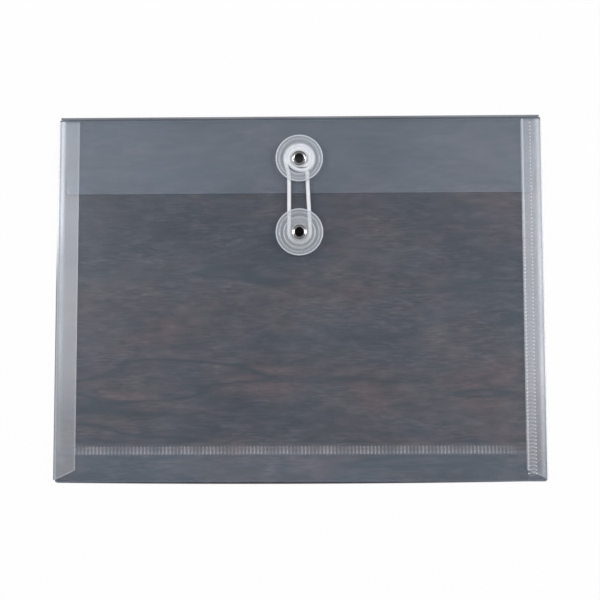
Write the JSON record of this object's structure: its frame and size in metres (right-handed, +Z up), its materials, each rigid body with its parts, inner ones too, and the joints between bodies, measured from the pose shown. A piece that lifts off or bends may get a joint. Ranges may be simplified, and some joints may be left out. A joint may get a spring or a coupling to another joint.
{
  "type": "string tie envelope",
  "caption": "Landscape film document envelope with expanding gussets, a hinged flap and riveted clear buttons joined by a wound tie string.",
  "frame": {"origin": "under the middle of the envelope, on the surface that its back sheet lies on", "axes": "+X along the width, +Y along the height towards the flap fold, +Z up through the thickness"},
  "size_m": [0.33, 0.248, 0.0139],
  "materials": {
    "back_film": "satin smoke film",
    "clear_film": "hazy clear film",
    "welded_film": "hazy clear film with a ladder weld",
    "clear_button": "moulded clear plastic",
    "eyelet_metal": "nickel plate",
    "tie_cord": "satin elastic cord"
  },
  "bodies": {
    "back": {"back_panel": "back_film", "bottom_spine": "clear_film"},
    "spine": {"top_spine": "back_film"},
    "flap": {"top_flap": "clear_film", "flap_hub": "clear_button", "flap_base_washer": "clear_button", "flap_rear_washer": "eyelet_metal", "flap_eyelet": "eyelet_metal", "tie_string": "tie_cord"},
    "flap_button": {"flap_disc": "clear_button"},
    "left_rear": {"left_gusset_rear": "clear_film"},
    "left_front": {"left_gusset_front": "clear_film"},
    "front": {"front_panel": "clear_film", "side_seam_lap": "welded_film", "bottom_seam_lap": "welded_film", "body_hub": "clear_button", "body_base_washer": "clear_button", "body_rear_washer": "eyelet_metal", "body_eyelet": "eyelet_metal"},
    "body_button": {"body_disc": "clear_button"},
    "right_rear": {"right_gusset_rear": "clear_film"},
    "right_front": {"right_gusset_front": "clear_film"},
    "bottom_base": {"bottom_panel": "clear_film"}
  },
  "joints": [
    {"name": "spine_fold", "type": "hinge", "parent": "back", "child": "spine", "pos_m": [0, 0.12325, 0.0012], "axis": [-1, 0, 0], "range_deg": [0, 75], "deforming": ["tie_string"]},
    {"name": "flap_fold", "type": "hinge", "parent": "spine", "child": "flap", "pos_m": [0, 0.12325, 0.00775], "axis": [-1, 0, 0], "range_deg": [0, 75.5], "deforming": ["tie_string"]},
    {"name": "left_rear_fold", "type": "hinge", "parent": "back", "child": "left_rear", "pos_m": [-0.16425, 0, 0.0012], "axis": [0, -1, 0], "range_deg": [0, 19]},
    {"name": "left_crease", "type": "hinge", "parent": "left_rear", "child": "left_front", "pos_m": [-0.15141, 0, 0.00325], "axis": [0, -1, 0], "range_deg": [-38, 0]},
    {"name": "front_fold", "type": "hinge", "parent": "left_front", "child": "front", "pos_m": [-0.16425, 0, 0.0053], "axis": [0, -1, 0], "range_deg": [0, 19]},
    {"name": "right_rear_fold", "type": "hinge", "parent": "back", "child": "right_rear", "pos_m": [0.16425, 0, 0.0012], "axis": [0, 1, 0], "range_deg": [0, 19]},
    {"name": "right_crease", "type": "hinge", "parent": "right_rear", "child": "right_front", "pos_m": [0.15141, 0, 0.00325], "axis": [0, 1, 0], "range_deg": [-38, 0]},
    {"name": "bottom_base_fold", "type": "hinge", "parent": "back", "child": "bottom_base", "pos_m": [0, -0.12325, 0.0053], "axis": [1, 0, 0], "range_deg": [0, 23.5]},
    {"name": "flap_disc_turn", "type": "hinge", "parent": "flap", "child": "flap_button", "pos_m": [0, 0.094, 0.0126], "axis": [0, 0, 1], "continuous": true},
    {"name": "body_disc_turn", "type": "hinge", "parent": "front", "child": "body_button", "pos_m": [0, 0.0436, 0.0112], "axis": [0, 0, 1], "continuous": true}
  ],
  "couplings": [
    {"joint": "flap_fold", "follows": "spine_fold", "ratio": 1},
    {"joint": "left_rear_fold", "follows": "spine_fold", "ratio": 0.25},
    {"joint": "left_crease", "follows": "spine_fold", "ratio": -0.5},
    {"joint": "front_fold", "follows": "spine_fold", "ratio": 0.25},
    {"joint": "right_rear_fold", "follows": "spine_fold", "ratio": 0.25},
    {"joint": "right_crease", "follows": "spine_fold", "ratio": -0.5},
    {"joint": "bottom_base_fold", "follows": "spine_fold", "ratio": 0.31}
  ]
}
